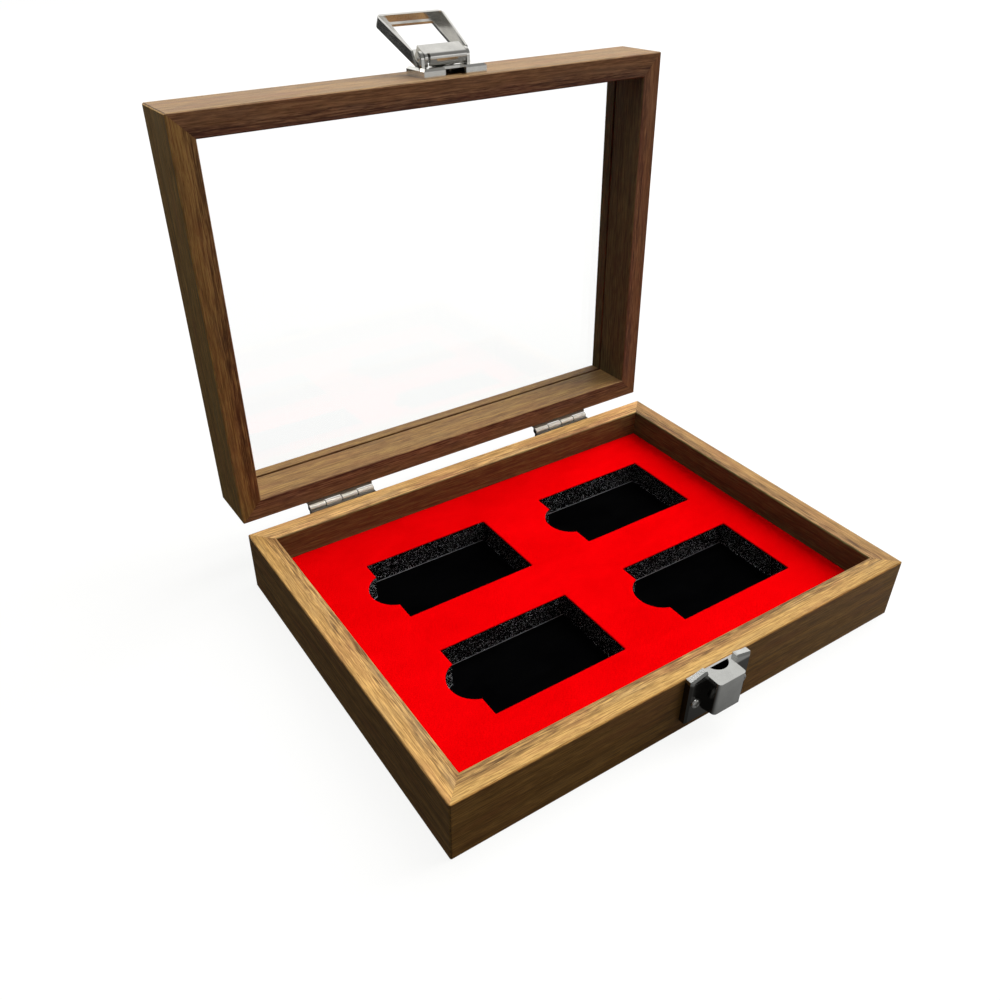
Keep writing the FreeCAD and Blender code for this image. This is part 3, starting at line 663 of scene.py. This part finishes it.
# Each flock's colour, that of its brushed patches, its sheen and the sheen's tint.
FLOCKS = {
    "red_flock": ((0.62, 0.0002, 0.0013), (0.55, 0.0, 0.0007), 0.03, (1.0, 0.02, 0.05)),
    "black_flock": ((0.0011, 0.0011, 0.0012), (0.0005, 0.0005, 0.0006), 0.0, (0.5, 0.5, 0.55)),
}

# The foam's colours, and ranges as (where a change begins, where it is complete).
FOAM_BLACK = (0.0022, 0.0022, 0.0025)
GLINT_COLOUR = (0.85, 0.87, 0.90)
GLINT_NOISE = (0.635, 0.70)
FOOT_COLOUR = (0.30, 0.31, 0.33)
FOOT_HEIGHT = (0.34 * MM, 0.16 * MM)       # measured from the foam's underside
FOOT_FACING = (0.5, 0.9)                   # how squarely a wall faces the front


def make_flock(name):
    """Short dense flock: matt, with a soft sheen, fine fibres and faint brushed patches."""
    colour, patches, sheen, sheen_tint = FLOCKS[name]
    tree = Tree(name)
    brushed = tree.cloud(tree.place, (22 * MM, 12 * MM, 22 * MM), detail=3.0, rough=0.55,
                         bend=0.4)
    tufts = tree.even_cloud(0.6 * MM, rough=0.6)
    fibres = tree.even_cloud(0.16 * MM, rough=0.7)
    base = tree.mix(tree.spread(brushed), colour, patches)
    fine = tree.level(fibres, 0.25, 0.75, 0.88, 1.06)
    tree.set(Base_Color=tree.tint(base, fine), Roughness=1.0, Specular_IOR_Level=0.0,
             Sheen_Weight=sheen, Sheen_Roughness=0.4, Sheen_Tint=(*sheen_tint, 1))
    tree.bump(tree.weigh((tufts, 1.4), (fibres, 1.0)), 0.12 * MM, 0.55)
    return tree.material


def make_foam():
    """Black cut foam: dark cells, fine pale glints on their torn edges, and a pale foot line."""
    tree = Tree("black_foam")
    cells = tree.cells(0.45 * MM)
    glints = tree.even_cloud(0.32 * MM, detail=1.0, rough=0.6)
    colour = tree.mix(tree.level(glints, *GLINT_NOISE), FOAM_BLACK, GLINT_COLOUR)
    height = tree.depth((0, 0, -1), -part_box("foam_insert")[0].z)
    foot = tree.level(height, *FOOT_HEIGHT)
    towards_front = tree.level(tree.dot(tree.facing, -ALONG_Y), *FOOT_FACING)
    colour = tree.mix(tree.combine("MULTIPLY", foot, towards_front), colour, FOOT_COLOUR)
    tree.set(Base_Color=colour, Roughness=0.9, Specular_IOR_Level=0.0)
    tree.bump(tree.combine("SUBTRACT", glints, cells), 0.25 * MM, 0.9)
    return tree.material


def make_insert():
    """The flocked face, the cut foam under it and the lining that shows in the recesses."""
    face_rows = rounded_edge(0.35 * MM, 0.7, steps=4, rows_below=1)
    face = build_board("flocked_face", "velvet_face", face_rows, RECESSES,
                       relief=swell(0.12 * MM, 22 * MM))

    foam_rows = rounded_edge(0.1 * MM, 0.02, steps=1, rows_below=18)[:-1] + FOAM_FOOT
    foam = build_board("cut_foam", "foam_insert", foam_rows, RECESSES, wall_offset=foam_cell)

    lining_rows = rounded_edge(0.2 * MM, 0.2, steps=2, rows_below=1)
    lining = build_board("lining_sheet", "recess_lining", lining_rows, [],
                         relief=swell(0.1 * MM, 6 * MM))

    give(make_flock("red_flock"), face)
    give(make_foam(), foam)
    give(make_flock("black_flock"), lining)

    notch = NOTCH_RADIUS ** 2 * math.acos(NOTCH_INSET / NOTCH_RADIUS)
    notch -= NOTCH_INSET * math.sqrt(NOTCH_RADIUS ** 2 - NOTCH_INSET ** 2)


make_insert()


# ---------------------------------------------------------------- studio

ROOM_RADIUS = 3.0
SPHERE_SEGMENTS = (64, 32)
DISC_SEGMENTS = 96
DOME_FOOT = -0.3              # the dome is open below this height

# The floor's glow rises over these distances from the middle, between these strengths.
FLOOR_GLOW = ((0.2, 0.6), (0.905, 0.97))

# The glow of what the metal mirrors rises along a direction, likewise.
TABLE_GLOW = ((0.5, -0.86, 0.0), (0.05, 0.15), (0.03, 0.50))
WALLS_GLOW = ((0.2, 0.9, -0.4), (-1.0, 1.5), (0.20, 1.20))

# Each lamp's place, the point it faces, its size and its power in watts.
LAMPS = {
    "key_light": ((1.37, 0.08, 1.4), (0.0, 0.0, 0.05), (1.3, 2.3), 82),
    "top_light": ((-0.02, 0.03, 0.65), (-0.02, 0.03, 0.0), (0.2, 0.3), 1.7),
    "front_fill": ((0.9, -1.3, 0.35), (0.0, 0.0, 0.05), (0.6, 0.5), 0.7),
}
UNMIRRORED_LAMP = "key_light"

# The strength of the light from all round: below, at and above the horizon.
AMBIENCE = (0.06, 0.07, 0.06)


def make_disc(height):
    mesh = bmesh.new()
    bmesh.ops.create_circle(mesh, cap_ends=True, radius=ROOM_RADIUS, segments=DISC_SEGMENTS)
    bmesh.ops.translate(mesh, verts=mesh.verts, vec=(0, 0, height))
    return mesh


def make_sphere(radius):
    mesh = bmesh.new()
    across, upwards = SPHERE_SEGMENTS
    bmesh.ops.create_uvsphere(mesh, u_segments=across, v_segments=upwards, radius=radius)
    return mesh


def add_stage(name, mesh, tree, **looks):
    """A piece of the studio, with its material's looks."""
    made = add_object(name, mesh)
    tree.set(Specular_IOR_Level=0.0, **looks)
    give(tree.material, made)
    return made


def make_floor():
    """A pale table top. It shows in the picture but throws no light back up on the object."""
    tree = Tree("pale_floor")
    distances, strengths = FLOOR_GLOW
    glow = tree.level(tree.reach((0, 0, 0)), *distances, *strengths)
    floor = add_stage("floor", make_disc(-0.1 * MM), tree, Base_Color=(0.09, 0.09, 0.089, 1),
                      Roughness=0.9, Emission_Color=(1, 1, 0.99, 1), Emission_Strength=glow)
    floor.visible_diffuse = floor.visible_glossy = False


def make_backdrop():
    """A pale dome beyond the floor, for the views that look up past it."""
    mesh = make_sphere(ROOM_RADIUS)
    below = [vertex for vertex in mesh.verts if vertex.co.z < DOME_FOOT]
    bmesh.ops.delete(mesh, geom=below, context="VERTS")
    dome = add_stage("backdrop", mesh, Tree("pale_backdrop"), Base_Color=(0, 0, 0, 1),
                     Roughness=1.0, Emission_Color=(1, 1, 1, 1), Emission_Strength=1.0)
    dome.visible_diffuse = dome.visible_glossy = dome.visible_shadow = False


def make_mirrored(name, mesh, towards, distances, strengths):
    """A surface that only reflections see."""
    tree = Tree(name)
    glow = tree.level(tree.dot(tree.place, towards), *distances, *strengths)
    made = add_stage(name, mesh, tree, Base_Color=(0, 0, 0, 1), Roughness=1.0,
                     Emission_Color=(1, 1, 0.98, 1), Emission_Strength=glow)
    made.visible_camera = made.visible_diffuse = made.visible_transmission = False
    made.visible_shadow = False


def make_softbox(name, place, aim, size, power):
    """A rectangular lamp at place, facing aim."""
    lamp = bpy.data.objects.new(name, bpy.data.lights.new(name, "AREA"))
    bpy.context.scene.collection.objects.link(lamp)
    lamp.data.shape = "RECTANGLE"
    lamp.data.size, lamp.data.size_y = size
    lamp.data.energy = power
    lamp.location = place
    lamp.rotation_euler = (Vector(aim) - Vector(place)).to_track_quat("-Z", "Y").to_euler()
    lamp.visible_camera = False
    lamp.visible_glossy = name != UNMIRRORED_LAMP


def make_ambience():
    """Dim light from all round."""
    world = bpy.data.worlds.new("ambience")
    bpy.context.scene.world = world
    world.use_nodes = True
    tree, links = world.node_tree.nodes, world.node_tree.links
    place = tree.new("ShaderNodeTexCoord")
    split = tree.new("ShaderNodeSeparateXYZ")
    ramp = tree.new("ShaderNodeValToRGB")
    half = tree.new("ShaderNodeMapRange")
    half.inputs["From Min"].default_value = -1
    links.new(place.outputs["Generated"], split.inputs["Vector"])
    links.new(split.outputs["Z"], half.inputs["Value"])
    links.new(half.outputs["Result"], ramp.inputs["Fac"])
    links.new(ramp.outputs["Color"], tree["Background"].inputs["Color"])
    elements = ramp.color_ramp.elements
    elements.new(0.5)
    for element, position, strength in zip(elements, (0.0, 0.5, 1.0), AMBIENCE):
        element.position = position
        element.color = (strength, strength, strength, 1)


make_floor()
make_backdrop()
make_mirrored("mirrored_table", make_disc(-0.2 * MM), *TABLE_GLOW)
make_mirrored("mirrored_walls", make_sphere(ROOM_RADIUS - 0.1), *WALLS_GLOW)
for lamp_name, settings in LAMPS.items():
    make_softbox(lamp_name, *settings)
make_ambience()
bpy.context.scene.view_settings.view_transform = "Standard"
